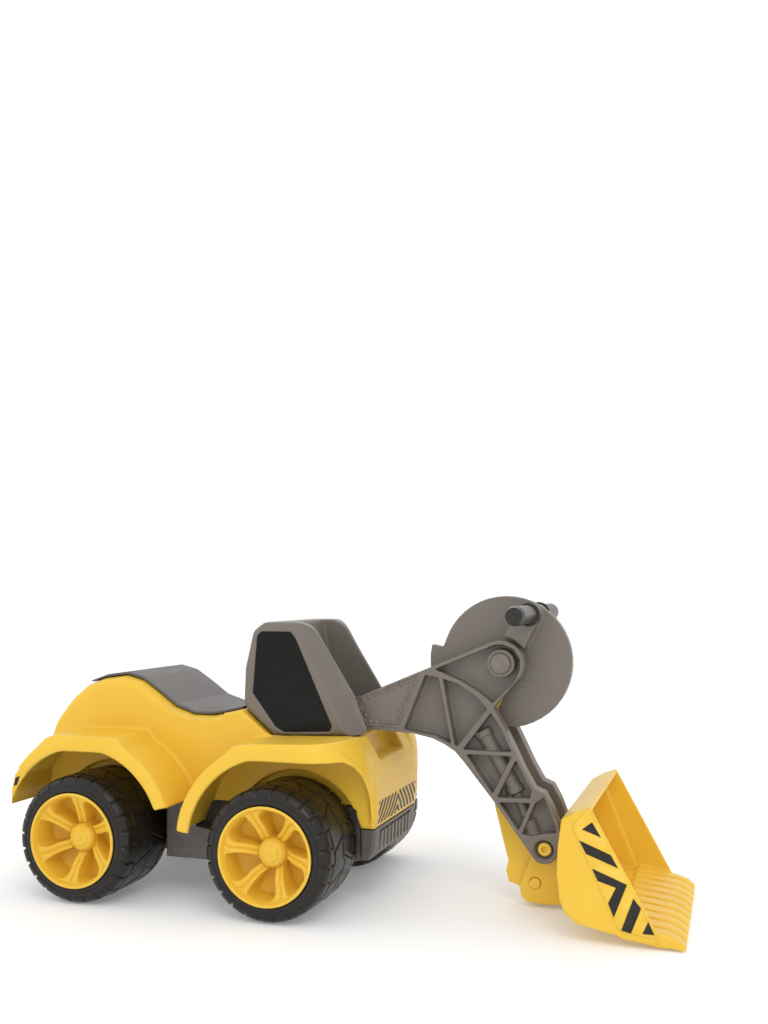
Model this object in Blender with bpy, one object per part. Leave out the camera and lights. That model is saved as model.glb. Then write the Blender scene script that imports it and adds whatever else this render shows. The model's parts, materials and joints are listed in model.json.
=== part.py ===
"""Ride-on digger: a child's push-along loader with a lifting boom and a cranked bucket.

Outlines are written in millimetres in the toy's side view, x forward from the front
axle and z up from the floor.  place() turns them into metres in the model's own frame.
"""

import math

import bmesh
import bpy
from mathutils import Matrix, Vector

# ---------------------------------------------------------------- driving dimensions (mm)
MM = 0.001
SHIFT_X = -47.4          # front axle's distance from the middle of the overall length
WHEELBASE = 234.4
AXLE_Z = 72.0            # wheel centre height, also the tyre's largest radius
TYRE_R = 72.0
RIM_R = 53.2
BARREL_R = 50.0
WHEEL_OUT = 171.1        # outer face of a rim from the middle plane
WHEEL_IN = 71.5          # inner face of a tyre from the middle plane
HUB_FACE = 145.3         # a rim's hub is sunk this side of its lip
AXLE_R = 5.0
BODY_HALF = 81.0         # half width of the body between its fenders
FENDER_HALF = 150.0
ARCH_R = 100.0
ARCH_TOP = 168.5
WELL_R = 77.5            # wheel well let into the body's side
WELL_IN = 66.3
WALL = 3.5
CAB_HALF = 76.0
SLOT_HALF = 48.0         # half width of the cab's slot for the boom
GAP = 0.3                # clearance between touching pieces
BOOM_IN = 18.0           # inner and outer faces of a boom shell
BOOM_OUT = 37.0
PIVOT_IN = 11.0          # the bucket turns on two stub pins, so the push rod passes between
LIFT = (20.0, 207.5)     # boom's lift pivot
CRANK = (223.3, 271.0)   # crank's pivot in the boom head
TIP = (271.5, 69.4)      # bucket's pivot at the boom's lower end
LINK = (-13.3, -41.9)    # offset of both push rod pins from their pivots
BOOM_TIE = (148.0, 203.0)  # tube and screw that hold the two boom shells together
DISC_R = 74.0
DISC_HALF = 6.0
HANDLE = (30.4, 54.0)    # handlebar's offset from the crank's pivot
HANDLE_HALF = 115.0
BUCKET_HALF = 123.5
BUCKET_WALL = 4.0
ROUND = 40               # segments of a large circle

YELLOW = (0.93, 0.74, 0.13)
GREY = (0.42, 0.39, 0.36)
DARK_GREY = (0.33, 0.31, 0.31)
BLACK = (0.09, 0.085, 0.085)
TYRE = (0.16, 0.15, 0.15)
STEEL = (0.62, 0.62, 0.60)

AXES = {}


# ---------------------------------------------------------------- scene and materials
def clear_scene():
    for obj in list(bpy.data.objects):
        bpy.data.objects.remove(obj, do_unlink=True)


def linear(channel):
    return channel / 12.92 if channel <= 0.04045 else ((channel + 0.055) / 1.055) ** 2.4


def finish(name, rgb, roughness, metallic=0.0):
    """A plain Principled material in the given sRGB colour."""
    material = bpy.data.materials.new(name)
    material.use_nodes = True
    shader = material.node_tree.nodes["Principled BSDF"]
    colour = [linear(c) for c in rgb] + [1.0]
    shader.inputs["Base Color"].default_value = colour
    shader.inputs["Roughness"].default_value = roughness
    shader.inputs["Metallic"].default_value = metallic
    material.diffuse_color = colour
    return material


def yellow(name):
    return finish(name + "_yellow", YELLOW, 0.35)


def grey(name):
    return finish(name + "_grey", GREY, 0.5)


def dark_grey(name):
    return finish(name + "_dark_grey", DARK_GREY, 0.55)


def black(name):
    return finish(name + "_black", BLACK, 0.3)


def rubber(name):
    return finish(name + "_tyre_black", TYRE, 0.6)


def steel(name):
    return finish(name + "_steel", STEEL, 0.35, 1.0)


# ---------------------------------------------------------------- shape helpers
def place(x, y, z):
    return Vector(((x + SHIFT_X) * MM, y * MM, z * MM))


def new_object(name, mesh_data):
    obj = bpy.data.objects.new(name, mesh_data)
    bpy.context.collection.objects.link(obj)
    return obj


def from_bmesh(name, shape):
    bmesh.ops.recalc_face_normals(shape, faces=shape.faces)
    mesh_data = bpy.data.meshes.new(name)
    shape.to_mesh(mesh_data)
    shape.free()
    return new_object(name, mesh_data)


def prism(name, outline, y0, y1, bevel=0.0, steps=2):
    """Extrude a side-view outline from y0 to y1, with its long edges bevelled if asked."""
    shape = bmesh.new()
    near = [shape.verts.new(place(x, y0, z)) for x, z in outline]
    far = [shape.verts.new(place(x, y1, z)) for x, z in outline]
    shape.faces.new(near)
    shape.faces.new(list(reversed(far)))
    count = len(outline)
    for i in range(count):
        j = (i + 1) % count
        shape.faces.new((near[j], near[i], far[i], far[j]))
    if bevel:
        edges = [e for e in shape.edges if set(e.verts) <= set(near) or set(e.verts) <= set(far)]
        bmesh.ops.bevel(shape, geom=edges, offset=bevel * MM, segments=steps, profile=0.5,
                        affect="EDGES", clamp_overlap=True)
    return from_bmesh(name, shape)


def lathe(name, profile, centre, segments=ROUND):
    """Turn a closed (radius, y) profile about the Y axis line through centre (x, z)."""
    shape = bmesh.new()
    rings = []
    for radius, y in profile:
        if radius == 0.0:
            rings.append([shape.verts.new(place(centre[0], y, centre[1]))])
            continue
        ring = []
        for k in range(segments):
            turn = 2.0 * math.pi * k / segments
            x = centre[0] + radius * math.cos(turn)
            z = centre[1] + radius * math.sin(turn)
            ring.append(shape.verts.new(place(x, y, z)))
        rings.append(ring)
    for a, b in zip(rings, rings[1:] + rings[:1]):
        if len(a) == 1 and len(b) == 1:
            continue
        for k in range(segments):
            m = (k + 1) % segments
            if len(a) == 1:
                shape.faces.new((a[0], b[m], b[k]))
            elif len(b) == 1:
                shape.faces.new((a[k], a[m], b[0]))
            else:
                shape.faces.new((a[k], a[m], b[m], b[k]))
    return from_bmesh(name, shape)


def rod(name, radius, y0, y1, centre, segments=20):
    return lathe(name, [(0.0, y0), (radius, y0), (radius, y1), (0.0, y1)], centre, segments)


def upright(name, radius, x, y, z0, z1, segments=16):
    """A cylinder that stands along Z."""
    shape = bmesh.new()
    rings = []
    for z in (z0, z1):
        ring = []
        for k in range(segments):
            turn = 2.0 * math.pi * k / segments
            ring.append(shape.verts.new(place(x + radius * math.cos(turn),
                                              y + radius * math.sin(turn), z)))
        rings.append(ring)
    shape.faces.new(rings[0])
    shape.faces.new(list(reversed(rings[1])))
    for k in range(segments):
        m = (k + 1) % segments
        shape.faces.new((rings[0][m], rings[0][k], rings[1][k], rings[1][m]))
    return from_bmesh(name, shape)


def combine(target, tools, operation):
    """Apply exact Booleans of the tools to the target and delete the tools."""
    for tool in tools:
        modifier = target.modifiers.new(operation.lower(), "BOOLEAN")
        modifier.operation = operation
        modifier.object = tool
        bpy.context.view_layer.update()
        graph = bpy.context.evaluated_depsgraph_get()
        result = bpy.data.meshes.new_from_object(target.evaluated_get(graph))
        target.modifiers.clear()
        target.data = result
        bpy.data.objects.remove(tool, do_unlink=True)
    return target


def cut(target, *tools):
    return combine(target, tools, "DIFFERENCE")


def join(target, *tools):
    return combine(target, tools, "UNION")


def arc(centre, radius, start, end, steps):
    """Points along an arc, angles in degrees measured from +X towards +Z."""
    points = []
    for k in range(steps + 1):
        turn = math.radians(start + (end - start) * k / steps)
        points.append((centre[0] + radius * math.cos(turn), centre[1] + radius * math.sin(turn)))
    return points


def add_axis(name, x, z, y=0.0, parent=None):
    """An empty on a joint's axis; pieces that move with the joint hang from it."""
    empty = bpy.data.objects.new(name, None)
    bpy.context.collection.objects.link(empty)
    here = place(x, y, z)
    AXES[name] = here
    empty.location = here
    if parent:
        empty.parent = bpy.data.objects[parent]
        empty.location = here - AXES[parent]
    return empty


def dress(obj, material, axis=None, sharp=40.0):
    """Give a piece its material and shading, and hang it from its joint's empty."""
    obj.data.materials.clear()
    obj.data.materials.append(material)
    obj.data.shade_smooth()
    obj.data.set_sharp_from_angle(angle=math.radians(sharp))
    if axis:
        obj.data.transform(Matrix.Translation(-AXES[axis]))
        obj.parent = bpy.data.objects[axis]
    return obj


def mirrored(y0, y1, side):
    """The two y limits on the given side (+1 or -1), in rising order."""
    return (y0, y1) if side > 0 else (-y1, -y0)


# ---------------------------------------------------------------- body
def body_outline():
    """Side view of the body shell: hood, cab seat line, saddle and rear hump."""
    hood = [(71.7, 87.8), (91.5, 87.8), (94.0, 104.0), (94.0, 128.0), (91.0, 150.0), (85.0, 165.0),
            (72.0, 187.5)]
    saddle = [(-33.0, 184.0), (-69.0, 215.0), (-85.0, 211.0), (-110.0, 206.0), (-135.0, 206.0),
              (-160.0, 214.0), (-182.0, 230.0), (-203.0, 244.0), (-225.0, 250.0)]
    hump = [(-255.0, 246.0), (-275.0, 239.0), (-294.0, 224.0), (-311.0, 204.0), (-322.0, 178.0),
            (-327.0, 150.0), (-327.0, 96.0)]
    return hood + saddle + hump + [(71.7, 96.0)]


def body_hollow():
    """Inside of the body shell, one wall thickness in, open at the bottom."""
    hood = [(75.5, 80.0), (88.0, 80.0), (90.3, 104.0), (90.3, 128.0), (87.0, 146.0), (80.0, 152.0),
            (50.0, 152.0), (44.0, 182.0)]
    saddle = [(-32.0, 180.0), (-68.0, 210.0), (-85.0, 207.0), (-110.0, 202.3), (-137.0, 202.5),
              (-163.0, 211.0), (-184.0, 226.5), (-204.0, 240.0), (-225.0, 246.3)]
    hump = [(-254.0, 242.5), (-273.0, 235.5), (-291.0, 221.5), (-307.5, 202.5), (-318.5, 177.0),
            (-322.3, 150.0), (-322.3, 80.0)]
    return hood + saddle + hump


def front_fender_outline():
    axle = (0.0, AXLE_Z)
    rear_leg = arc(axle, ARCH_R + 16.0, 173.0, 122.0, 8)
    return rear_leg + [(-46.0, 184.0), (-20.0, 187.0), (60.0, 189.5), (86.0, 189.5), (86.0, 172.0),
                       (60.0, 100.0), (-60.0, 80.0)]


def rear_fender_outline():
    axle = (-WHEELBASE, AXLE_Z)
    tail = [(-330.0, 91.5), (-329.0, 120.0), (-325.5, 138.0), (-306.0, 162.0), (-284.0, 182.0),
            (-272.0, 186.5)]
    return [(-250.0, 80.0)] + tail + [(-190.0, 186.5)] + arc(axle, ARCH_R + 16.0, 62.0, 20.0, 6)


def wheel_arch(name, axle_x, y0, y1, front_open):
    """Cutter for a wheel opening: a circle about the axle, flat across its top."""
    axle = (axle_x, AXLE_Z)
    half = math.degrees(math.asin((ARCH_TOP - AXLE_Z) / ARCH_R))
    outline = [(axle_x - ARCH_R, 40.0)] + arc(axle, ARCH_R, 180.0, 180.0 - half, 10)
    if front_open:
        outline += [(66.0, ARCH_TOP + 2.0), (96.0, ARCH_TOP + 6.0), (96.0, 40.0)]
    else:
        outline += arc(axle, ARCH_R, half, 0.0, 10) + [(axle_x + ARCH_R, 40.0)]
    return prism(name, outline, y0, y1)


def make_fender(name, outline, roof, axle_x, front_open, side):
    """One fender: a skin with a deeper outer lip, open below for the wheel."""
    y0, y1 = mirrored(BODY_HALF - 5.0, FENDER_HALF, side)
    fender = prism(name, outline, y0, y1, 3.0)
    cut(fender, wheel_arch("arch", axle_x, y0 - 5.0, y1 + 5.0, front_open))
    y0, y1 = mirrored(BODY_HALF - 10.0, FENDER_HALF - WALL, side)
    house = [(roof[0][0], 40.0)] + roof + [(roof[-1][0], 40.0)]
    return cut(fender, prism("house", house, y0, y1))


def line_wheel_wells(body):
    """Half drums let into the body's sides, so that the tyres turn beside the tray."""
    wells = [(axle_x, side) for axle_x in (0.0, -WHEELBASE) for side in (-1, 1)]
    for axle_x, side in wells:
        y0, y1 = mirrored(WELL_IN - WALL, BODY_HALF - 2.0, side)
        liner = arc((axle_x, AXLE_Z), WELL_R + WALL, 28.0, 152.0, 15)
        join(body, prism("liner", liner, y0, y1))
    for axle_x, side in wells:
        y0, y1 = mirrored(WELL_IN, BODY_HALF + 8.0, side)
        cut(body, rod("well", WELL_R, y0, y1, (axle_x, AXLE_Z), ROUND))


def make_body():
    """Yellow shell: hood, saddle and hump with four fenders, hollow and open below."""
    body = prism("body_shell", body_outline(), -BODY_HALF, BODY_HALF, 4.0)
    front_roof = [(-112.0, 90.0), (-92.0, 136.0), (-59.6, 167.3), (-43.0, 179.6), (-19.0, 183.2),
                  (60.0, 185.6), (82.5, 185.6)]
    rear_roof = [(-324.0, 104.0), (-320.5, 136.0), (-302.0, 159.0), (-281.0, 178.5),
                 (-271.0, 182.8), (-192.5, 182.8)]
    rear_roof += arc((-WHEELBASE, AXLE_Z), ARCH_R + 12.5, 62.0, 28.4, 4) + [(-134.0, 120.0)]
    for side in (-1, 1):
        join(body, make_fender("front_fender", front_fender_outline(), front_roof, 0.0, True, side))
        join(body, make_fender("rear_fender", rear_fender_outline(), rear_roof, -WHEELBASE,
                               False, side))
    cut(body, prism("hollow", body_hollow(), WALL - BODY_HALF, BODY_HALF - WALL))
    line_wheel_wells(body)
    underside = [(-335.0, 70.0), (71.4, 70.0), (71.4, 109.5), (-335.0, 109.5)]
    cut(body, prism("underside", underside, -BODY_HALF - 0.5, BODY_HALF + 0.5))
    recess = [(62.0, 200.0), (62.0, 178.0), (68.0, 163.0), (100.0, 157.0), (100.0, 200.0)]
    cut(body, prism("boom_recess", recess, -46.0, 46.0, 4.0))
    for x, y in screw_places():
        roof = 184.0 if x > 0.0 else 228.0
        post = upright("post", 7.0, x, y, 54.0, roof)
        cut(post, upright("pilot", 1.9, x, y, 51.0, 72.0))
        join(body, post)
    return dress(body, yellow("body_shell"))


def screw_places():
    return [(x, y) for x in (48.0, -285.0) for y in (-52.0, 52.0)]


def make_seat_cover():
    """Grey saddle and rear deck cover, lying on the body with six louvre slots."""
    top = [(-72.0, 218.0), (-87.0, 214.5), (-111.0, 209.8), (-134.0, 209.8), (-158.0, 217.5),
           (-181.0, 234.0), (-203.0, 248.3), (-225.0, 253.8), (-253.0, 250.0), (-277.0, 241.5)]
    under = [(-273.0, 240.2), (-254.9, 246.5), (-225.0, 250.4), (-203.0, 244.6), (-181.8, 230.4),
             (-159.8, 214.3), (-135.0, 206.3), (-110.0, 206.3), (-84.6, 211.4), (-74.0, 214.3)]
    cover = prism("seat_cover", top + under, -68.0, 68.0)
    for row in range(3):
        x = -232.0 - 13.0 * row
        for y in (-34.0, 6.0):
            slot = [(x, 230.0), (x + 5.0, 230.0), (x + 5.0, 262.0), (x, 262.0)]
            cut(cover, prism("louvre", slot, y, y + 28.0))
    return dress(cover, grey("seat_cover"))


def make_chassis():
    """Grey tray under the body, with wide foot panels between the wheels and a bumper."""
    outline = [(71.1, 50.0), (71.1, 109.2), (-318.0, 109.2), (-321.0, 70.0), (-300.0, 46.0),
               (60.0, 46.0)]
    hollow = [(67.6, 52.0), (67.6, 120.0), (-314.5, 120.0), (-317.3, 71.0), (-298.0, 49.5),
              (60.0, 49.5)]
    chassis = prism("chassis", outline, -67.0, 67.0, 3.0)
    middle = [(-80.0, 44.5), (-80.0, 79.4), (-119.0, 79.4), (-119.0, 109.2), (-155.0, 109.2),
              (-155.0, 44.5)]
    join(chassis, prism("foot_panels", middle, -100.0, 100.0, 3.0))
    neck = [(66.0, 51.0), (80.0, 55.0), (80.0, 86.0), (66.0, 86.0)]
    join(chassis, prism("bumper_neck", neck, -64.0, 64.0))
    bumper = [(74.6, 52.0), (84.0, 53.0), (90.0, 62.0), (92.0, 87.5), (74.6, 87.5)]
    join(chassis, prism("bumper", bumper, -78.0, 78.0, 3.0))
    cut(chassis, prism("hollow", hollow, WALL - 67.0, 67.0 - WALL))
    inner = [(-83.5, 48.0), (-83.5, 75.9), (-122.5, 75.9), (-122.5, 120.0), (-151.5, 120.0),
             (-151.5, 48.0)]
    cut(chassis, prism("panel_hollow", inner, WALL - 100.0, 100.0 - WALL))
    grille_seat = [(86.0, 58.0), (94.0, 58.0), (94.0, 84.0), (86.0, 84.0)]
    cut(chassis, prism("grille_seat", grille_seat, -58.0, 58.0))
    for axle_x in (0.0, -WHEELBASE):
        cut(chassis, rod("axle_hole", AXLE_R + GAP, -70.0, 70.0, (axle_x, AXLE_Z)))
    for x, y in screw_places():
        cut(chassis, upright("screw_hole", 2.4, x, y, 40.0, 60.0))
    return dress(chassis, dark_grey("chassis"))


def make_grille():
    """Front grille insert with upright bars."""
    plate = [(86.3, 58.3), (88.3, 58.3), (88.3, 83.7), (86.3, 83.7)]
    grille = prism("front_grille", plate, -57.7, 57.7)
    for k in range(9):
        y = -52.0 + 13.0 * k
        bar = [(87.5, 60.0), (91.2, 61.0), (92.6, 82.0), (87.5, 82.0)]
        join(grille, prism("bar", bar, y - 2.5, y + 2.5))
    return dress(grille, grey("front_grille"))


def make_chassis_screws():
    for number, (x, y) in enumerate(screw_places(), 1):
        name = "chassis_screw_%d" % number
        screw = upright(name, 1.6, x, y, 44.5, 66.0, 12)
        join(screw, upright("head", 4.2, x, y, 43.1, 45.7, 16))
        dress(screw, steel(name))


# ---------------------------------------------------------------- cab
def cab_outline():
    return [(-31.8, 185.2), (70.0, 188.6), (73.0, 196.0), (58.0, 232.0), (12.0, 306.0), (2.0, 315.5),
            (-44.0, 315.5), (-58.0, 305.0), (-68.0, 262.0), (-69.5, 222.0), (-66.0, 214.9)]


def window_outline(grow):
    """Side window with its cut lower rear corner, grown by a clearance."""
    return [(-28.0 - grow, 196.5 - grow), (-18.0, 190.8 - grow), (36.5 + grow, 193.5 - grow),
            (40.0 + grow, 199.0), (-4.0 + grow, 297.0), (-10.0, 304.3 + grow),
            (-46.0, 304.3 + grow), (-51.0 - grow, 299.0), (-56.5 - grow, 234.0)]


def make_cab():
    """One moulded cab frame, open at the front between its pillars for the boom."""
    cab = prism("cab_frame", cab_outline(), -CAB_HALF, CAB_HALF, 9.0, 3)
    slot = [(120.0, 170.0), (120.0, 340.0), (-24.0, 340.0), (-16.0, 296.0), (-6.0, 240.0),
            (-2.0, 170.0)]
    cut(cab, prism("slot", slot, -SLOT_HALF, SLOT_HALF, 5.0))
    cut(cab, rod("pin_hole", 6.0 + GAP, -90.0, 90.0, LIFT))
    for side in (-1, 1):
        y0, y1 = mirrored(CAB_HALF - 4.0, CAB_HALF + 5.0, side)
        cut(cab, prism("window_seat", window_outline(GAP), y0, y1))
        y0, y1 = mirrored(SLOT_HALF + 4.0, CAB_HALF - 8.0, side)
        inside = [(-20.0, 160.0), (36.0, 160.0), (50.0, 200.0), (4.0, 292.0), (-36.0, 292.0),
                  (-50.0, 240.0), (-20.0, 192.0)]
        cut(cab, prism("pillar_hollow", inside, y0, y1))
    return dress(cab, grey("cab_frame"))


def make_windows():
    for side, hand in ((-1, "right"), (1, "left")):
        name = "window_" + hand
        y0, y1 = mirrored(CAB_HALF - 3.7, CAB_HALF - 1.2, side)
        dress(prism(name, window_outline(0.0), y0, y1), black(name))


def make_lift_pin():
    """The boom's pin; the window panes cover its ends."""
    pin = rod("boom_lift_pin", 6.0, -CAB_HALF + 4.5, CAB_HALF - 4.5, LIFT)
    dress(pin, steel("boom_lift_pin"))


# ---------------------------------------------------------------- running gear
def make_axles():
    for name, axle_x in (("front_axle", 0.0), ("rear_axle", -WHEELBASE)):
        dress(rod(name, AXLE_R, 2.0 - HUB_FACE, HUB_FACE - 2.0, (axle_x, AXLE_Z)), steel(name))


def along(side, profile):
    """Mirror a (radius, |y|) profile to one side of the toy."""
    return [(radius, side * y) for radius, y in profile]


def rim_profile():
    face = WHEEL_OUT
    return [(8.3, 76.0), (12.0, 76.0), (12.0, 122.0), (46.5, 130.0), (46.5, 74.0), (BARREL_R, 74.0),
            (BARREL_R, face - 2.3), (RIM_R, face - 2.3), (RIM_R, face), (48.0, face),
            (46.5, 136.0), (17.0, 130.0), (17.0, HUB_FACE - 0.3), (8.3, HUB_FACE - 0.3)]


def make_spoke(centre, swing, side):
    """A spoke that rises from the sunk hub to the lip."""
    shape = bmesh.new()
    ends = []
    for reach, half, back, front in ((16.6, 5.0, 128.0, 146.0), (47.5, 7.5, 134.0, 164.0)):
        for off, y in ((half, back), (-half, back), (-half, front), (half, front)):
            x = centre[0] + reach * math.cos(swing) - off * math.sin(swing)
            z = centre[1] + reach * math.sin(swing) + off * math.cos(swing)
            ends.append(shape.verts.new(place(x, side * y, z)))
    shape.faces.new(ends[:4])
    shape.faces.new(ends[4:])
    for k in range(4):
        m = (k + 1) % 4
        shape.faces.new((ends[k], ends[m], ends[4 + m], ends[4 + k]))
    return from_bmesh("spoke", shape)


def make_rim(name, axle_x, side):
    """Deep dished rim with six spokes over a closed web."""
    centre = (axle_x, AXLE_Z)
    rim = lathe(name, along(side, rim_profile()), centre, 32)
    for k in range(6):
        join(rim, make_spoke(centre, math.radians(60.0 * k), side))
    return rim


def tyre_profile():
    bore = BARREL_R + GAP
    return [(bore, WHEEL_IN), (66.0, WHEEL_IN), (70.5, WHEEL_IN + 5.0), (TYRE_R, WHEEL_IN + 24.0),
            (TYRE_R, 144.0), (70.5, 164.0), (66.0, WHEEL_OUT - 2.7), (bore, WHEEL_OUT - 2.7)]


def make_wheels():
    places = (("front_left", 0.0, 1), ("front_right", 0.0, -1),
              ("rear_left", -WHEELBASE, 1), ("rear_right", -WHEELBASE, -1))
    for corner, axle_x, side in places:
        axis = corner + "_wheel_axis"
        centre = (axle_x, AXLE_Z)
        add_axis(axis, axle_x, AXLE_Z, side * 120.0)
        rim = make_rim("rim_" + corner, axle_x, side)
        dress(rim, yellow("rim_" + corner), axis)
        tyre = lathe("tyre_" + corner, along(side, tyre_profile()), centre, 36)
        dress(tyre, rubber("tyre_" + corner), axis)
        sleeve = [(AXLE_R + GAP, 70.0), (11.0, 70.0), (11.0, 75.7), (8.0, 75.7), (8.0, HUB_FACE - 2.0),
                  (AXLE_R + GAP, HUB_FACE - 2.0)]
        bush = lathe("wheel_bush_" + corner, along(side, sleeve), centre, 16)
        dress(bush, dark_grey("wheel_bush_" + corner), axis)
        dome = [(0.0, HUB_FACE), (15.5, HUB_FACE), (15.5, 148.5), (13.5, 152.0), (8.0, 154.0),
                (0.0, 154.8)]
        cap = lathe("hub_cap_" + corner, along(side, dome), centre, 24)
        dress(cap, yellow("hub_cap_" + corner), axis)


# ---------------------------------------------------------------- boom
def boom_outline():
    """Side view of a boom shell: root, arched lower edge, bucket eye, chord and head."""
    root = arc(LIFT, 15.5, 125.0, 270.0, 8)
    lower = [(73.0, 192.2), (106.0, 191.0), (124.0, 190.0), (146.0, 185.5), (160.0, 179.5),
             (172.0, 172.0), (182.0, 161.0), (216.0, 119.0), (257.5, 63.0)]
    eye = arc(TIP, 15.5, 205.0, 350.0, 8)
    cheek = [(289.0, 86.0), (288.0, 96.0), (281.0, 115.0), (272.0, 131.5), (261.0, 136.0)]
    chord = [(250.0, 155.0), (239.0, 178.0), (227.0, 202.0), (215.0, 222.0)]
    head = arc(CRANK, 25.5, -36.0, 112.0, 8)
    return root + lower + eye + cheek + chord + head + [(133.0, 261.0), (46.0, 224.5)]


def boom_bays():
    """Pockets between the ribs of a boom shell, seen from outside."""
    return [
        [(137.0, 256.5), (153.0, 254.0), (167.5, 180.0), (148.0, 189.0), (112.0, 194.0)],
        [(157.5, 253.0), (176.0, 247.0), (196.0, 234.0), (208.5, 220.5), (174.5, 178.0), (171.5, 179.0)],
        [(212.5, 216.5), (223.0, 201.0), (236.0, 174.0), (180.5, 174.5)],
        [(184.5, 169.5), (236.0, 169.5), (214.5, 127.0)],
        [(240.5, 166.0), (247.0, 153.0), (258.0, 133.0), (256.0, 124.5), (219.5, 123.5)],
        [(221.5, 118.5), (257.0, 119.5), (243.5, 88.5)],
        [(262.0, 120.0), (271.5, 127.0), (284.5, 95.0), (285.0, 88.5), (272.0, 87.5), (258.0, 83.5),
         (247.0, 85.0)],
        [(148.0, 263.0), (205.0, 286.5), (216.0, 291.5), (226.0, 292.0), (238.0, 287.0), (245.0, 276.0),
         (244.5, 264.0), (238.0, 250.0), (214.5, 227.0), (199.0, 239.0), (178.0, 251.0)],
    ]


def make_boom_shell(hand, side):
    name = "boom_" + hand
    y0, y1 = mirrored(BOOM_IN, BOOM_OUT, side)
    shell = prism(name, boom_outline(), y0, y1)
    for bay in boom_bays():
        b0, b1 = mirrored(BOOM_IN + 4.0, BOOM_OUT + 5.0, side)
        cut(shell, prism("bay", bay, b0, b1))
    h0, h1 = mirrored(BOOM_IN + 3.0, BOOM_OUT - 1.0, side)
    join(shell, rod("head_boss", 15.5, h0, h1, CRANK, 32))
    root_bay = [(50.0, 219.0), (64.0, 197.0), (98.0, 196.0), (124.0, 250.0)]
    i0, i1 = mirrored(BOOM_IN - 5.0, BOOM_OUT - 4.0, side)
    cut(shell, prism("root_bay", root_bay, i0, i1))
    c0, c1 = mirrored(BOOM_IN - 5.0, BOOM_OUT + 5.0, side)
    cut(shell, rod("tip_hole", 7.0 + GAP, c0, c1, TIP, 24))
    cut(shell, rod("crank_hole", 8.0 + GAP, c0, c1, CRANK, 28))
    cut(shell, rod("lift_hole", 8.5, c0, c1, LIFT))
    if side > 0:
        cut(shell, rod("screw_hole", 2.3, c0, c1, BOOM_TIE, 12))
    return dress(shell, grey(name), "boom_axis", 30.0)


def make_boom():
    add_axis("boom_axis", *LIFT)
    make_boom_shell("left", 1)
    make_boom_shell("right", -1)
    sleeve = [(6.0 + GAP, -46.0), (8.2, -46.0), (8.2, 46.0), (6.0 + GAP, 46.0)]
    dress(lathe("boom_root_sleeve", sleeve, LIFT, 24), dark_grey("boom_root_sleeve"), "boom_axis")
    half = BOOM_IN - GAP
    tube = [(2.3, -half), (7.0, -half), (7.0, half), (2.3, half)]
    dress(lathe("boom_tie_tube", tube, BOOM_TIE, 20), grey("boom_tie_tube"), "boom_axis")
    head = BOOM_IN + 4.0 + GAP
    screw = [(0.0, 4.0 - half), (2.0, 4.0 - half), (2.0, head), (4.5, head), (4.0, head + 2.6),
             (0.0, head + 2.6)]
    dress(lathe("boom_screw", screw, BOOM_TIE, 16), steel("boom_screw"), "boom_axis")


# ---------------------------------------------------------------- crank and push rod
def crank_pin():
    return (CRANK[0] + LINK[0], CRANK[1] + LINK[1])


def bucket_pin():
    return (TIP[0] + LINK[0], TIP[1] + LINK[1])


def make_crank():
    """Disc with a stop lug and a raised arm to the handlebar."""
    add_axis("crank_axis", CRANK[0], CRANK[1], 0.0, "boom_axis")
    lug = arc(CRANK, DISC_R + 14.5, 168.0, 186.0, 3)
    rim = arc(CRANK, DISC_R, 186.0, 528.0, 44)
    disc = prism("crank_disc", lug + rim, -DISC_HALF, DISC_HALF, 1.0, 1)
    handle = (CRANK[0] + HANDLE[0], CRANK[1] + HANDLE[1])
    heading = math.degrees(math.atan2(HANDLE[1], HANDLE[0]))
    arm = arc(CRANK, 29.0, heading + 27.0, heading - 27.0, 6)
    arm += arc(handle, 11.0, heading - 80.0, heading + 80.0, 8)
    join(disc, prism("arm", arm, -30.0, 30.0, 2.0))
    join(disc, rod("hub", 7.7, -BOOM_OUT + 1.0, BOOM_OUT - 1.0, CRANK, 32))
    cut(disc, rod("bar_hole", 7.0 + GAP, -40.0, 40.0, handle))
    cut(disc, rod("pin_hole", 5.0 + GAP, -20.0, 20.0, crank_pin()))
    dress(disc, grey("crank_disc"), "crank_axis", 30.0)
    for side, hand in ((-1, "right"), (1, "left")):
        name = "crank_cap_" + hand
        y0, y1 = mirrored(BOOM_OUT - 0.7, BOOM_OUT + 1.2, side)
        dress(rod(name, 10.5, y0, y1, CRANK, 32), grey(name), "crank_axis")
    bar = rod("handlebar", 7.0, -HANDLE_HALF + 4.0, HANDLE_HALF - 4.0, handle)
    dress(bar, steel("handlebar"), "crank_axis")
    for side, hand in ((-1, "right"), (1, "left")):
        name = "grip_" + hand
        tube = [(7.0 + GAP, 30.3), (13.0, 30.3), (13.0, 33.5), (10.0, 36.0), (10.6, 108.0),
                (9.0, HANDLE_HALF), (0.0, HANDLE_HALF), (0.0, 111.3), (7.0 + GAP, 111.3)]
        grip = lathe(name, along(side, tube), handle, 20)
        dress(grip, dark_grey(name), "crank_axis")


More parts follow.
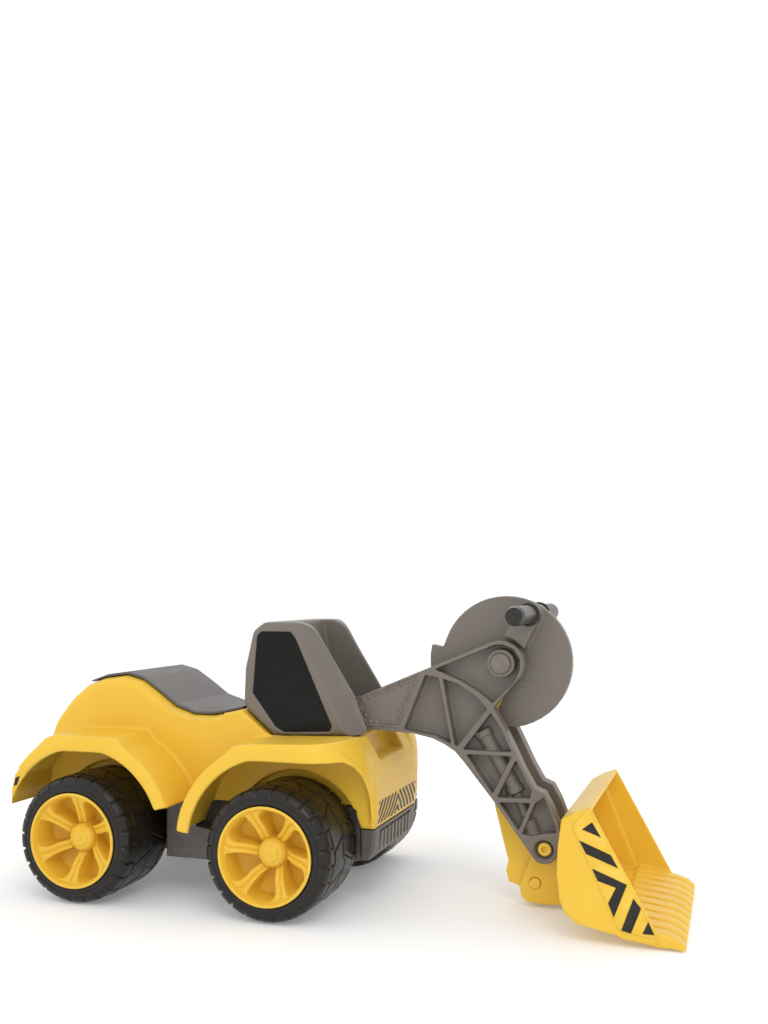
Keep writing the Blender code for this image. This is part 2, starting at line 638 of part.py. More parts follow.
def make_push_rod():
    """Yellow rod, forked over the disc at the top, with a heel at the bucket pin."""
    top = crank_pin()
    foot = bucket_pin()
    add_axis("rod_axis", top[0], top[1], 0.0, "crank_axis")
    outline = arc(top, 10.0, 0.0, 180.0, 8)
    outline += [(203.0, 165.0), (212.0, 106.0), (228.0, 48.0), (224.0, 38.0), (227.0, 25.0)]
    outline += arc(foot, 15.0, 215.0, 375.0, 8) + [(262.0, 70.0), (236.0, 150.0), (224.0, 178.0),
                                                   (215.0, 205.0), (214.0, 220.0)]
    push_rod = prism("push_rod", outline, -10.3, 10.3, 1.5, 1)
    fork = [(180.0, 250.0), (180.0, 180.0), (250.0, 180.0), (250.0, 250.0)]
    cut(push_rod, prism("fork_gap", fork, -DISC_HALF - 0.6, DISC_HALF + 0.6))
    cut(push_rod, rod("top_hole", 5.0 + GAP, -20.0, 20.0, top))
    cut(push_rod, rod("foot_hole", 6.0 + 0.6, -20.0, 20.0, foot))
    dress(push_rod, yellow("push_rod"), "rod_axis")
    pin = rod("upper_rod_pin", 5.0, -11.5, 11.5, top)
    dress(pin, steel("upper_rod_pin"), "rod_axis")


# ---------------------------------------------------------------- bucket
def bucket_outline():
    """Outside of the bucket in side view."""
    return [(332.0, 136.5), (318.0, 131.0), (303.0, 122.5), (299.5, 92.0), (299.0, 66.0),
            (301.0, 42.0), (306.0, 29.0), (318.0, 19.0), (336.0, 16.0), (358.0, 14.5), (364.0, 8.0),
            (394.0, 4.5), (399.0, 13.5)]


def bucket_inside():
    """Hollow of the bucket, open towards the front."""
    return [(345.0, 150.0), (330.0, 131.5), (318.0, 126.0), (308.0, 119.0), (304.0, 92.0),
            (303.5, 66.0), (305.5, 44.0), (310.0, 33.0), (320.0, 23.5), (337.0, 20.5), (360.0, 19.0),
            (386.0, 13.0), (420.0, 12.0), (420.0, 60.0)]


def tooth_outline():
    return [(384.0, 5.6), (396.0, 3.0), (412.0, 3.2), (421.0, 1.4), (424.5, 4.0), (418.0, 9.5),
            (402.0, 13.0), (384.0, 13.0)]


def ear_outline():
    foot = bucket_pin()
    ear = arc(TIP, 13.5, 20.0, 185.0, 8)
    ear += [(240.5, 24.0), (242.5, 12.0), (249.0, 6.0), (262.0, 4.5), (306.0, 5.5), (304.0, 60.0)]
    return ear


def make_bucket():
    add_axis("bucket_axis", TIP[0], TIP[1], 0.0, "boom_axis")
    bucket = prism("bucket", bucket_outline(), -BUCKET_HALF, BUCKET_HALF, 3.0)
    inner = BUCKET_HALF - BUCKET_WALL
    cut(bucket, prism("inside", bucket_inside(), -inner, inner, 3.0))
    teeth = 10
    pitch = 2.0 * (BUCKET_HALF - 1.0) / teeth
    for k in range(teeth):
        middle = -BUCKET_HALF + 1.0 + pitch * (k + 0.5)
        half = 0.5 * pitch - 2.2
        join(bucket, prism("tooth", tooth_outline(), middle - half, middle + half))
    for side in (-1, 1):
        y0, y1 = mirrored(11.6, 17.2, side)
        join(bucket, prism("ear", ear_outline(), y0, y1))
    cut(bucket, rod("pivot_hole", 7.0 + GAP, -20.0, 20.0, TIP, 32))
    cut(bucket, rod("rod_pin_hole", 6.0 + GAP, -20.0, 20.0, bucket_pin(), 24))
    dress(bucket, yellow("bucket"), "bucket_axis")
    pin = rod("lower_rod_pin", 6.0, -18.0, 18.0, bucket_pin())
    dress(pin, yellow("lower_rod_pin"), "bucket_axis")
    film = [(334.0, 131.0), (394.5, 20.5), (366.0, 22.0), (314.5, 114.5)]
    for side, hand in ((-1, "right"), (1, "left")):
        name = "bucket_pivot_pin_" + hand
        y0, y1 = mirrored(PIVOT_IN, BOOM_OUT - 1.5, side)
        dress(rod(name, 7.0, y0, y1, TIP, 28), yellow(name), "bucket_axis")
        name = "bucket_stripes_" + hand
        y0, y1 = mirrored(BUCKET_HALF + 0.3, BUCKET_HALF + 0.8, side)
        dress(prism(name, film, y0, y1), black(name), "bucket_axis")


def build():
    clear_scene()
    make_body()
    make_seat_cover()
    make_chassis()
    make_grille()
    make_chassis_screws()
    make_cab()
    make_windows()
    make_lift_pin()
    make_axles()
    make_wheels()
    make_boom()
    make_crank()
    make_push_rod()
    make_bucket()


build()
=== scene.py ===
"""Looks of the ride-on digger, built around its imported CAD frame.

Side-view outlines are in millimetres, x forward from the front axle and z up from the
floor, and y out from the middle plane.  place() turns them into the frame's metres.
"""

import json
import math

import bmesh
import bpy
from mathutils import Matrix, Vector
from mathutils.bvhtree import BVHTree


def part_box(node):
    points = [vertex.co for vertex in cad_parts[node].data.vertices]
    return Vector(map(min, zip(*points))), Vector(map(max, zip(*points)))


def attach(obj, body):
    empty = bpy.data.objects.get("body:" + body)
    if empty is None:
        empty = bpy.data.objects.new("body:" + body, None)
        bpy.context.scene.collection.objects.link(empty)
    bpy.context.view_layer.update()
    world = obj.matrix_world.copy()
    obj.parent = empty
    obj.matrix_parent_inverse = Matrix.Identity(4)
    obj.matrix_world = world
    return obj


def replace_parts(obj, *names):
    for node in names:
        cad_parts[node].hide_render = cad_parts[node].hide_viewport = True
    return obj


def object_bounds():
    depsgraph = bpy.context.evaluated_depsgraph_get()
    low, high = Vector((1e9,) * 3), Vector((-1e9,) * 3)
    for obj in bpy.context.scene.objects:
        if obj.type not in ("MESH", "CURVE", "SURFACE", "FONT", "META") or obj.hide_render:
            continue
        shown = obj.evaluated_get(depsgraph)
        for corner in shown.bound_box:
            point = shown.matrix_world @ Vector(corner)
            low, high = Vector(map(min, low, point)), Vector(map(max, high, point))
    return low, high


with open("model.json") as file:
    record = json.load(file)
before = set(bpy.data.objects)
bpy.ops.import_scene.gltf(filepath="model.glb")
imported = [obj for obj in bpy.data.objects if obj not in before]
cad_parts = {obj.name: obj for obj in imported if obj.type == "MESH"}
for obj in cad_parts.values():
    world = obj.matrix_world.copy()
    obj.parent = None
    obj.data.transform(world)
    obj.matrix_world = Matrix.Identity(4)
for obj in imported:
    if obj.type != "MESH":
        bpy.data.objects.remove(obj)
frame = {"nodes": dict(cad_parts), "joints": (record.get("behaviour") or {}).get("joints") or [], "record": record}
cad_low, cad_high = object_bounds()

MM = 0.001
NODES = frame["nodes"]
JOINTS = {joint["name"]: Vector(joint["pos_m"]) for joint in frame["joints"]}


def middle(node):
    low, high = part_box(node)
    return (low + high) / 2


AXLE = middle("front_axle")               # everything is placed from the front axle
SHIFT_X = AXLE.x / MM
AXLE_Z = AXLE.z / MM
SIDES = (("right", -1), ("left", 1))
BACKWARD = Vector((-1.0, 0.0, 0.0))


# ---------------------------------------------------------------- shape helpers
def place(x, y, z):
    """Axle-view millimetres as a frame point in metres."""
    return Vector(((x + SHIFT_X) * MM, y * MM, z * MM))


def in_axle_view(point):
    """A frame point as (x from the front axle, z from the floor) in millimetres."""
    return point.x / MM - SHIFT_X, point.z / MM


def new_object(name, shape):
    """A mesh object from a bmesh, with its faces turned outwards."""
    bmesh.ops.recalc_face_normals(shape, faces=shape.faces)
    mesh = bpy.data.meshes.new(name)
    shape.to_mesh(mesh)
    shape.free()
    obj = bpy.data.objects.new(name, mesh)
    bpy.context.collection.objects.link(obj)
    return obj


def prism(outline, y0, y1, bevel=0.0, steps=3, name="prism"):
    """A side-view outline drawn out from y0 to y1, its long edges rounded if asked."""
    shape = bmesh.new()
    near = [shape.verts.new(place(x, y0, z)) for x, z in outline]
    far = [shape.verts.new(place(x, y1, z)) for x, z in outline]
    shape.faces.new(near)
    shape.faces.new(list(reversed(far)))
    count = len(outline)
    for i in range(count):
        j = (i + 1) % count
        shape.faces.new((near[j], near[i], far[i], far[j]))
    if bevel:
        rims = (set(near), set(far))
        edges = [e for e in shape.edges if any(set(e.verts) <= rim for rim in rims)]
        bmesh.ops.bevel(shape, geom=edges, offset=bevel * MM, segments=steps, profile=0.5,
                        affect="EDGES", clamp_overlap=True)
    return new_object(name, shape)


def turned(profile, centre, side=1, segments=96, relief=None, phase=0.0, name="turned"):
    """A (radius, y) profile turned about the Y line through centre (x, z).

    relief(radius, y, angle) may move each point of the surface; side -1 turns the
    whole piece half round the vertical, as a wheel on the other side of the toy is.
    """
    shape = bmesh.new()
    rings = []
    for radius, y in profile:
        steps = 1 if radius == 0.0 else segments
        ring = []
        for k in range(steps):
            angle = 2.0 * math.pi * k / segments
            r, w = relief(radius, y, angle) if relief and radius else (radius, y)
            turn = angle + phase
            x = centre[0] + side * r * math.cos(turn)
            ring.append(shape.verts.new(place(x, side * w, centre[1] + r * math.sin(turn))))
        rings.append(ring)
    for a, b in zip(rings, rings[1:] + rings[:1]):
        for k in range(segments):
            m = (k + 1) % segments
            corners = [a[k % len(a)], a[m % len(a)], b[m % len(b)], b[k % len(b)]]
            corners = list(dict.fromkeys(corners))
            if len(corners) > 2:
                shape.faces.new(corners)
    return new_object(name, shape)


def arc(centre, radius, start, end, steps):
    """Points along an arc, angles in degrees from +X towards +Z."""
    points = []
    for k in range(steps + 1):
        turn = math.radians(start + (end - start) * k / steps)
        points.append((centre[0] + radius * math.cos(turn), centre[1] + radius * math.sin(turn)))
    return points


def dome(x, y, z, radius, flat=0.6):
    """A rivet head that stands out along Y."""
    shape = bmesh.new()
    turn = Matrix.Rotation(math.radians(90.0), 4, "X")
    size = Matrix.Diagonal((radius * MM, radius * flat * MM, radius * MM, 1.0))
    bmesh.ops.create_uvsphere(shape, u_segments=12, v_segments=8, radius=1.0,
                              matrix=Matrix.Translation(place(x, y, z)) @ size @ turn)
    return new_object("dome", shape)


def bar(start, end, y, radius, tip_radius=None, segments=24):
    """A round bar between two side-view points, at y from the middle plane."""
    a, b = place(start[0], y, start[1]), place(end[0], y, end[1])
    shape = bmesh.new()
    turn = (b - a).to_track_quat("Z", "Y").to_matrix().to_4x4()
    bmesh.ops.create_cone(shape, cap_ends=True, segments=segments, radius1=radius * MM,
                          radius2=(tip_radius or radius) * MM, depth=(b - a).length,
                          matrix=Matrix.Translation((a + b) / 2) @ turn)
    return new_object("bar", shape)


def tube(points, radius, closed=False):
    """A round bead through (x, y, z) points."""
    curve = bpy.data.curves.new("tube", "CURVE")
    curve.dimensions = "3D"
    curve.bevel_depth = radius * MM
    curve.bevel_resolution = 3
    curve.use_fill_caps = not closed
    spline = curve.splines.new("POLY")
    spline.points.add(len(points) - 1)
    for spot, point in zip(spline.points, points):
        spot.co = (*place(*point), 1.0)
    spline.use_cyclic_u = closed
    obj = bpy.data.objects.new("tube", curve)
    bpy.context.collection.objects.link(obj)
    bpy.context.view_layer.update()
    mesh = bpy.data.meshes.new_from_object(obj.evaluated_get(bpy.context.evaluated_depsgraph_get()))
    bpy.data.objects.remove(obj)
    made = bpy.data.objects.new("tube", mesh)
    bpy.context.collection.objects.link(made)
    return made


def along(points, spacing):
    """Points every spacing millimetres or so along a line of (x, z) points, ends included."""
    spots = [points[0]]
    for (x0, z0), (x1, z1) in zip(points, points[1:]):
        steps = max(1, round(math.hypot(x1 - x0, z1 - z0) / spacing))
        spots += [(x0 + (x1 - x0) * k / steps, z0 + (z1 - z0) * k / steps)
                  for k in range(1, steps + 1)]
    return spots


def cad_copy(node):
    """A CAD node's shape as a new welded mesh, to carve and add to."""
    shape = bmesh.new()
    shape.from_mesh(NODES[node].data)
    bmesh.ops.remove_doubles(shape, verts=shape.verts, dist=1e-6)
    return new_object(node + "_copy", shape)


def evaluated(obj):
    """Apply an object's modifiers."""
    bpy.context.view_layer.update()
    graph = bpy.context.evaluated_depsgraph_get()
    mesh = bpy.data.meshes.new_from_object(obj.evaluated_get(graph))
    obj.modifiers.clear()
    obj.data = mesh
    return obj


def carve(obj, *tools):
    """Cut each tool out of obj, and drop the tool."""
    for tool in tools:
        cutter = obj.modifiers.new("carve", "BOOLEAN")
        cutter.operation = "DIFFERENCE"
        cutter.object = tool
        evaluated(obj)
        bpy.data.objects.remove(tool)
    return obj


def gather(name, parts):
    """Several solids in one mesh, each still closed."""
    shape = bmesh.new()
    for part in parts:
        shape.from_mesh(part.data)
        bpy.data.objects.remove(part)
    mesh = bpy.data.meshes.new(name)
    shape.to_mesh(mesh)
    shape.free()
    obj = bpy.data.objects.new(name, mesh)
    bpy.context.collection.objects.link(obj)
    return obj


def melt(name, parts, voxel, rounds):
    """Fuse overlapping solids into one skin whose edges are softly rounded, as moulded ones are."""
    obj = gather(name, parts)
    fuse = obj.modifiers.new("fuse", "REMESH")
    fuse.mode = "VOXEL"
    fuse.voxel_size = voxel * MM
    soften = obj.modifiers.new("soften", "SMOOTH")
    soften.factor = 0.5
    soften.iterations = rounds
    return evaluated(obj)


def smooth_step(low, high, value):
    """0 below low, 1 above high, and an eased rise between them."""
    t = min(1.0, max(0.0, (value - low) / (high - low)))
    return t * t * (3.0 - 2.0 * t)


def soft_max(a, b, blend):
    """The larger of two signed distances, rounded over where they meet."""
    h = min(1.0, max(0.0, 0.5 + 0.5 * (a - b) / blend))
    return b + (a - b) * h + blend * h * (1.0 - h)


# ---------------------------------------------------------------- materials
def linear(channel):
    """An sRGB channel, 0 to 1, as linear light."""
    return channel / 12.92 if channel <= 0.04045 else ((channel + 0.055) / 1.055) ** 2.4


def rgba(colour):
    """A 0 to 255 sRGB colour as a socket value."""
    return [min(1.0, linear(c / 255.0)) for c in colour] + [1.0]


MIX_FACTOR, MIX_A, MIX_B, MIX_RESULT = 0, 6, 7, 2     # the colour sockets of a Mix node


class Nodes:
    """Short calls for wiring a material."""

    def __init__(self, name):
        self.material = bpy.data.materials.new(name)
        self.material.use_nodes = True
        self.tree = self.material.node_tree
        self.shader = self.tree.nodes["Principled BSDF"]

    def add(self, kind, **inputs):
        """A shader node with its inputs set, or linked when they are sockets."""
        node = self.tree.nodes.new("ShaderNode" + kind)
        for key, value in inputs.items():
            name = key.replace("_", " ")
            if hasattr(value, "is_linked"):
                self.tree.links.new(value, node.inputs[name])
            else:
                node.inputs[name].default_value = value
        return node

    def noise(self, scale, detail=3.0, rough=0.5):
        """Noise in object space, so that it moves with the piece."""
        where = self.add("TexCoord").outputs["Object"]
        node = self.add("TexNoise", Vector=where, Scale=scale, Detail=detail, Roughness=rough)
        return node.outputs["Fac"]

    def ramp(self, value, low, high):
        """value between low and high becomes 0 to 1."""
        node = self.add("MapRange", Value=value)
        node.inputs["From Min"].default_value = low
        node.inputs["From Max"].default_value = high
        return node.outputs["Result"]

    def spread(self, value, low, high):
        """0 to 1 becomes low to high."""
        node = self.add("MapRange", Value=value)
        node.inputs["To Min"].default_value = low
        node.inputs["To Max"].default_value = high
        return node.outputs["Result"]

    def mix(self, factor, first, second):
        """A colour between first and second."""
        node = self.tree.nodes.new("ShaderNodeMix")
        node.data_type = "RGBA"
        for socket, value in ((MIX_FACTOR, factor), (MIX_A, first), (MIX_B, second)):
            if hasattr(value, "is_linked"):
                self.tree.links.new(value, node.inputs[socket])
            else:
                node.inputs[socket].default_value = value
        return node.outputs[MIX_RESULT]

    def to(self, socket, value):
        """Set or link a socket of the shader."""
        if hasattr(value, "is_linked"):
            self.tree.links.new(value, self.shader.inputs[socket])
        else:
            self.shader.inputs[socket].default_value = value


def plastic(name, colour, shade, edge, rough, grain=900.0, depth=0.00002, coat=0.0, gloss=0.5):
    """Moulded plastic: a mottled body colour, a painted highlight of paler colour on convex edges broken up by
    noise, and a fine grain.
    """
    n = Nodes(name)
    cloud = n.ramp(n.noise(9.0, 4.0), 0.3, 0.75)
    body = n.mix(cloud, rgba(shade), rgba(colour))
    # painted highlight: convex edges (high pointiness) take the paler edge colour, in patches set by noise
    convexity = n.add("NewGeometry").outputs["Pointiness"]
    highlight_breakup = n.ramp(n.noise(70.0, 5.0, 0.7), 0.42, 0.75)
    edge_highlight = n.add("Math", Value=n.ramp(convexity, 0.515, 0.58))
    edge_highlight.operation = "MULTIPLY"
    n.tree.links.new(highlight_breakup, edge_highlight.inputs[1])
    n.to("Base Color", n.mix(edge_highlight.outputs[0], body, rgba(edge)))
    n.to("Roughness", n.spread(n.noise(45.0, 4.0, 0.6), rough - 0.06, rough + 0.08))
    bump = n.add("Bump", Height=n.noise(grain, 2.0, 0.6), Strength=0.25, Distance=depth)
    n.to("Normal", bump.outputs["Normal"])
    n.to("Coat Weight", coat)
    n.to("Coat Roughness", 0.12)
    n.to("IOR", 1.5)
    n.to("Specular IOR Level", gloss)
    return n.material


# the third colour of each plastic is its painted edge highlight
YELLOW = plastic("yellow_plastic", (236, 194, 66), (228, 184, 58), (246, 212, 104), 0.34, coat=0.03,
                 gloss=0.28)
GREY = plastic("grey_plastic", (118, 110, 102), (108, 101, 94), (138, 130, 121), 0.42)
DARK_GREY = plastic("dark_grey_plastic", (92, 86, 83), (82, 77, 74), (114, 107, 102), 0.45)
BLACK = plastic("black_plastic", (36, 33, 31), (29, 27, 25), (60, 56, 52), 0.3, gloss=0.35)
PANE = plastic("black_pane", (9, 9, 8), (7, 7, 6), (16, 15, 14), 0.2, depth=0.000004, gloss=0.22)
FILM = plastic("black_film", (38, 34, 29), (31, 28, 24), (52, 47, 40), 0.4, gloss=0.3)
TYRE = plastic("tyre_plastic", (30, 26, 23), (24, 21, 18), (52, 47, 42), 0.3, gloss=0.36)


def steel_material():
    """Plain steel, slightly uneven."""
    n = Nodes("steel")
    n.to("Base Color", n.mix(n.noise(60.0, 4.0), rgba((150, 150, 148)), rgba((180, 180, 176))))
    n.to("Metallic", 1.0)
    n.to("Roughness", n.spread(n.noise(160.0, 3.0), 0.24, 0.42))
    return n.material


STEEL = steel_material()
SLOT_LOOKS = {"yellow_plastic": YELLOW, "grey_plastic": GREY, "dark_grey_plastic": DARK_GREY,
              "black_plastic": BLACK, "black_film": FILM, "tyre": TYRE, "steel": STEEL}


def dress(obj, material, sharp=None):
    """Give a piece its material and smooth shading."""
    obj.data.materials.clear()
    obj.data.materials.append(material)
    obj.data.shade_smooth()
    if sharp:
        obj.data.set_sharp_from_angle(angle=math.radians(sharp))
    return obj


def finish_cad_nodes():
    """CAD nodes that stay in view get the procedural material of their slot."""
    for row in frame["record"]["subparts"]:
        for slot in NODES[row["node"]].material_slots:
            slot.material = SLOT_LOOKS[row["material_slot"]]
    for hand, _ in SIDES:
        NODES["window_" + hand].material_slots[0].material = PANE
        NODES["grip_" + hand].material_slots[0].material = BLACK


# ---------------------------------------------------------------- wheels
WHEELS = ("front_right", "front_left", "rear_right", "rear_left")
LUGS = 24
RIM_SEGMENTS = 384
TYRE_SEGMENTS = LUGS * 18
SPOKES = 6
BORE_R = 9.6                              # radii from the axle
FACE_START_R = 10.0
HUB_R = 16.0
LIP_R = 47.4
FACE_END_R = 50.4
SHOULDER_R = 61.5
TREAD_R = 72.0
HUB_FACE = 145.0                          # distances from the middle plane
SPOKE_TOP = 164.5
LIP_TOP = 170.2
POCKET_FLOOR = 131.5
TYRE_MID = 120.0


def spoke_distance(r, angle):
    """How far inside the spokes, hub and lip a point lies, and how far off a spoke's line."""
    t = min(1.0, max(0.0, (r - HUB_R) / (LIP_R - HUB_R)))
    lean = math.radians(9.0 * (smooth_step(0.0, 0.75, t) - 0.5)
                        + 2.5 * math.sin(2.0 * math.pi * t))
    pitch = 2.0 * math.pi / SPOKES
    off = (angle - lean + pitch / 2) % pitch - pitch / 2
    across = r * math.sin(off)
    half = 5.2 + 1.6 * t + 2.0 * smooth_step(0.7, 1.0, t)
    spider = soft_max(half - abs(across), r - LIP_R, 6.0)
    return soft_max(spider, HUB_R + 0.6 - r, 3.0), across


def rim_relief(r, w, angle):
    """The rim's face: curved spokes with a groove between two ridges, rising to the lip."""
    if w < HUB_FACE - 5.0 or r > FACE_END_R or r < FACE_START_R:
        return r, w
    inside, across = spoke_distance(r, angle)
    t = min(1.0, max(0.0, (r - HUB_R) / (LIP_R - HUB_R)))
    top = HUB_FACE + (SPOKE_TOP - HUB_FACE) * t ** 0.85
    ridge = 1.3 * math.exp(-((abs(across + 0.5) - 3.2) / 1.5) ** 2)
    groove = 1.6 * math.exp(-((across + 0.5) / 0.8) ** 2)
    fade = smooth_step(HUB_R - 1.0, HUB_R + 3.0, r) * (1.0 - smooth_step(46.0, 49.0, r))
    top += (ridge - groove) * fade
    top += (LIP_TOP - top) * smooth_step(47.8, FACE_END_R, r)
    floor = POCKET_FLOOR + 5.0 * t * t
    return r, floor + (top - floor) * smooth_step(-0.8, 0.8, inside)


def rim_profile():
    """Round from the bore over the face and the lip, and back along the barrel."""
    steps = [FACE_START_R + (46.0 - FACE_START_R) * k / 60 for k in range(60)]
    steps += [46.0 + 2.6 * k / 16 for k in range(16)]
    steps += [48.6, 49.0, 49.4, 49.8, 50.2, FACE_END_R]
    face = [(r, 162.0) for r in steps]
    lip = [(51.0, 170.8), (51.8, 171.1), (52.6, 170.9), (53.2, 170.1), (53.2, 168.9),
           (50.2, 167.2)]
    barrel = [(50.0, 164.0), (50.0, 75.0), (49.5, 74.0), (47.4, 74.0), (47.0, 75.0), (46.6, 126.0),
              (14.0, 126.0), (BORE_R, 124.0), (BORE_R, 140.0)]
    return [(BORE_R, HUB_FACE - 1.0)] + face + lip + barrel


def tread_depth(w, angle):
    """Depth of the notches between shoulder blocks and of the grooves across the tread."""
    pitch = 2.0 * math.pi / LUGS
    across = abs(w - TYRE_MID)
    off = (angle + pitch / 2) % pitch - pitch / 2
    if across > 30.0:
        gap = abs(off) * TREAD_R - 1.0
        return 2.1 * (1.0 - smooth_step(0.0, 1.1, gap))
    wide = 2.0 * pitch
    slant = (across - 15.0) * 0.006
    off = (angle - slant + (wide / 2 if w > TYRE_MID else 0.0) + wide / 2) % wide - wide / 2
    gap = abs(off) * TREAD_R - 0.8
    return 1.3 * (1.0 - smooth_step(0.0, 1.1, gap))


def belt_depth(w, angle):
    """The grooves that run round the tyre, stepping from block to block."""
    wave = 1.8 * math.tanh(5.0 * math.sin(LUGS * angle / 2.0))
    edge = abs(abs(w - TYRE_MID) - 29.0 - wave) - 0.6
    centre = abs(w - TYRE_MID + 1.6 * wave) - 0.6
    return max(1.5 * (1.0 - smooth_step(0.0, 1.0, edge)),
               1.0 * (1.0 - smooth_step(0.0, 1.0, centre)))


def ticks(w, angle):
    """Short raised marks in pairs on the tread blocks."""
    wide = 4.0 * math.pi / LUGS
    off = (angle + (0.0 if w > TYRE_MID else wide / 2) + wide / 2) % wide - wide / 2
    if abs(abs(w - TYRE_MID) - 16.0) > 4.2:
        return 0.0
    return max(0.55 * (1.0 - smooth_step(0.35, 0.9, abs(off * TREAD_R - mark)))
               for mark in (-2.0, 2.0))


def tyre_relief(r, w, angle):
    """Sinks the grooves into the tread and the shoulders."""
    if r < SHOULDER_R:
        return r, w
    shoulder = smooth_step(SHOULDER_R, 64.5, r)
    depth = max(tread_depth(w, angle), belt_depth(w, angle)) * shoulder
    rise = ticks(w, angle) if r > 71.0 else 0.0
    inward = depth * 0.9 * (1.0 - smooth_step(69.0, 71.5, r))
    side = 1.0 if w > TYRE_MID else -1.0
    return r - depth * smooth_step(64.0, 70.0, r) + rise - 0.6, w - side * inward


def tyre_profile():
    """Bead, flat sidewall, rounded shoulder, then half the tread; mirrored about the middle."""
    half = [(53.5, 165.6), (53.9, 167.8), (54.8, 168.4), (57.0, 168.5), (58.6, 168.3),
            (59.4, 167.4), (60.2, 167.4), (61.0, 168.2), (62.5, 168.4), (64.0, 168.2),
            (65.8, 167.4), (67.6, 166.2), (69.2, 164.6), (70.4, 162.6), (71.2, 160.4),
            (71.7, 158.0)]
    tread = [(71.9 + 0.5 * smooth_step(158.0, 130.0, w), w)
             for w in [156.6 - 1.15 * k for k in range(32)]]
    outer = half + tread
    inner = [(r, 2.0 * TYRE_MID - w) for r, w in reversed(outer)]
    return outer + inner + [(50.6, 74.6), (50.6, 166.6), (53.5, 166.6)]


def make_hub_cap(centre, side):
    """A domed hub with a raised ring and a generic circle of bolt heads."""
    profile = [(0.0, HUB_FACE - 0.6), (15.6, HUB_FACE - 0.6), (15.9, 146.4), (15.6, 148.2),
               (14.6, 150.0), (13.2, 151.5), (11.6, 152.7), (10.9, 152.6), (10.2, 153.1),
               (8.0, 154.0), (6.0, 154.5), (3.0, 154.8), (0.0, 154.9)]
    parts = [turned(profile, centre, side, 64)]
    for k in range(6):
        turn = math.radians(60.0 * k + 12.0)
        for reach, height, radius in ((7.6, 154.0, 1.7), (12.6, 151.8, 1.2)):
            x, z = centre[0] + reach * math.cos(turn), centre[1] + reach * math.sin(turn)
            parts.append(dome(x, side * height, z, radius))
    parts.append(dome(centre[0], side * 154.7, centre[1], 3.0))
    return parts


def make_wheels():
    """Rim, tyre and hub cap of each wheel; the rear pair is turned to another phase."""
    for corner in WHEELS:
        side = -1 if corner.endswith("right") else 1
        centre = in_axle_view(middle("rim_" + corner))
        phase = math.radians(6.0 if corner.startswith("front") else 33.0)
        body = "wheel_" + corner
        rim = turned(rim_profile(), centre, side, RIM_SEGMENTS, rim_relief, phase,
                     "rim_look_" + corner)
        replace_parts(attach(dress(rim, YELLOW, 50.0), body), "rim_" + corner)
        tyre = turned(tyre_profile(), centre, side, TYRE_SEGMENTS, tyre_relief, phase,
                      "tyre_look_" + corner)
        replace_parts(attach(dress(tyre, TYRE), body), "tyre_" + corner)
        cap = gather("hub_look_" + corner, make_hub_cap(centre, side))
        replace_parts(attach(dress(cap, YELLOW, 50.0), body), "hub_cap_" + corner)


# ---------------------------------------------------------------- body, cab and tray
TAIL_MARK = ((-325.0, 125.0), (-322.4, 135.0), (-316.6, 137.0), (-320.4, 126.5))
BODY_HALF = 81.0
FENDER_HALF = 150.0
WALL = 3.5
FRONT_CORNER_X = 35.0                     # from here the front fenders turn in to the fascia
ARCH_R = 100.0
ARCH_TOP = 168.5
# the fascia's x at each height, and the fender's lower edge at each swing round the corner
HOOD_LINE = ((90.0, 92.0), (128.0, 92.4), (150.0, 90.5), (165.0, 87.0), (178.0, 81.0),
             (189.0, 74.0))
ARCH_LINE = ((0.0, 90.5), (5.0, 112.0), (9.0, 131.0), (17.0, 147.0), (30.0, 162.0),
             (42.0, ARCH_TOP), (90.0, ARCH_TOP))
FILM_HALF = 70.0
FILM_LOW, FILM_HIGH = 92.5, 117.5
CHEVRONS = 8
CHEVRON_PITCH = 12.2
SADDLE_BACK_X = -90.0                     # the crown starts behind the cab
CROWN_Y, CROWN_Z, CROWN_WIDTH, CROWN_DROP = 56.0, 190.0, 25.0, 9.0


def follow(line, value):
    """Read a line of (value, result) points, straight between them."""
    value = max(value, line[0][0])
    for (v0, r0), (v1, r1) in zip(line, line[1:]):
        if value <= v1:
            return r0 + (r1 - r0) * (value - v0) / (v1 - v0)
    return line[-1][1]


def corner_point(swing, z, grow):
    """On the front corner's surface: swing 0 at the fascia, 90 at the fender's side."""
    turn = math.radians(swing)
    nose = follow(HOOD_LINE, z) - FRONT_CORNER_X + grow
    return (FRONT_CORNER_X + nose * math.cos(turn),
            BODY_HALF + (FENDER_HALF - BODY_HALF + grow) * math.sin(turn), z)


def loft(loops):
    """A closed solid through loops of (x, y, z) points."""
    shape = bmesh.new()
    rings = [[shape.verts.new(place(*point)) for point in loop] for loop in loops]
    shape.faces.new(rings[0])
    shape.faces.new(rings[-1])
    for a, b in zip(rings, rings[1:]):
        for k in range(len(a)):
            m = (k + 1) % len(a)
            shape.faces.new((a[k], a[m], b[m], b[k]))
    bmesh.ops.triangulate(shape, faces=shape.faces)
    return new_object("loft", shape)


def corner_solid(side, outset, inset, low_line, top):
    """A bent block that follows the front corner from the fascia to the fender's side."""
    loops = []
    for k in range(25):
        swing = -4.0 + 98.0 * k / 24
        low = follow(low_line, swing)
        heights = [low + (top - low) * j / 8 for j in range(9)]
        loop = [corner_point(swing, z, outset) for z in heights]
        loop += [corner_point(swing, z, -inset) for z in reversed(heights)]
        loops.append([(x, side * y, z) for x, y, z in loop])
    return loft(loops)


def lip_band(stations, side):
    """The proud band along a fender's edge, through (bottom, top, outward) stations."""
    loops = []
    for bottom, top, out in stations:
        loop = []
        for point, push in ((bottom, -1.5), (bottom, 2.4), (top, 2.0), (top, -1.5)):
            loop.append((point[0] + out[0] * push, side * (point[1] + out[1] * push), point[2]))
        loops.append(loop)
    return loft(loops)


